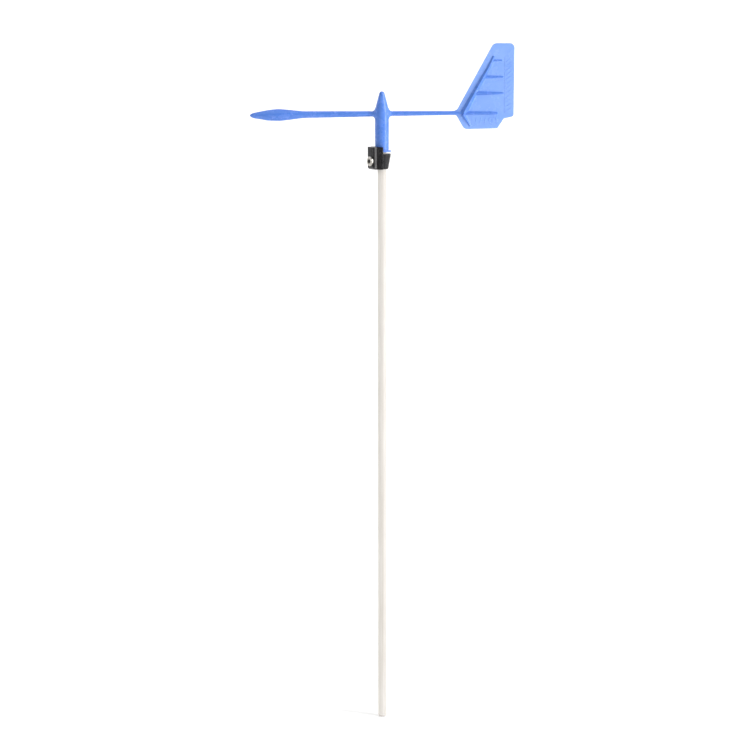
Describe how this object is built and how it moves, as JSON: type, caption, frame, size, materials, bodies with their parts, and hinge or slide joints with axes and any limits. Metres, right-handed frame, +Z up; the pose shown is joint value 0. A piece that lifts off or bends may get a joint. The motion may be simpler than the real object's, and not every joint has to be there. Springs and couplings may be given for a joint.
{
  "type": "masthead wind indicator",
  "caption": "Slim wind vane with a bulged nose and a ribbed tail fin, turning on a needle at the top of a round rod and kept on by a screw-clamped collar.",
  "frame": {"origin": "centre of the rod's lower end face", "axes": "+Z up along the rod; at rest the vane lies along X with its nose towards -X and its fin towards +X"},
  "size_m": [0.15, 0.0123, 0.3934],
  "materials": {
    "rod_fibreglass": "satin pultruded glass fibre",
    "needle_steel": "ground",
    "cup_brass": "turned",
    "vane_plastic": "satin moulded",
    "weight_steel": "plain cut bar",
    "collar_plastic": "semi-gloss moulded",
    "fastener_steel": "stainless"
  },
  "bodies": {
    "rod": {"rod": "rod_fibreglass", "pivot_needle": "needle_steel"},
    "vane": {"vane": "vane_plastic", "bearing_cup": "cup_brass", "nose_weight": "weight_steel"},
    "collar": {"retainer_collar": "collar_plastic", "clamp_nut": "fastener_steel"},
    "screw": {"clamp_screw": "fastener_steel"}
  },
  "joints": [
    {"name": "vane_spin", "type": "hinge", "parent": "rod", "child": "vane", "pos_m": [0, 0, 0.345], "axis": [0, 0, 1], "continuous": true},
    {"name": "collar_swivel", "type": "hinge", "parent": "rod", "child": "collar", "pos_m": [0, 0, 0.3265], "axis": [0, 0, 1], "continuous": true},
    {"name": "screw_turn", "type": "hinge", "parent": "collar", "child": "screw", "pos_m": [-0.0057, -0.0037, 0.3271], "axis": [-0.8387, -0.5446, 0], "range_deg": [0, 450]}
  ]
}
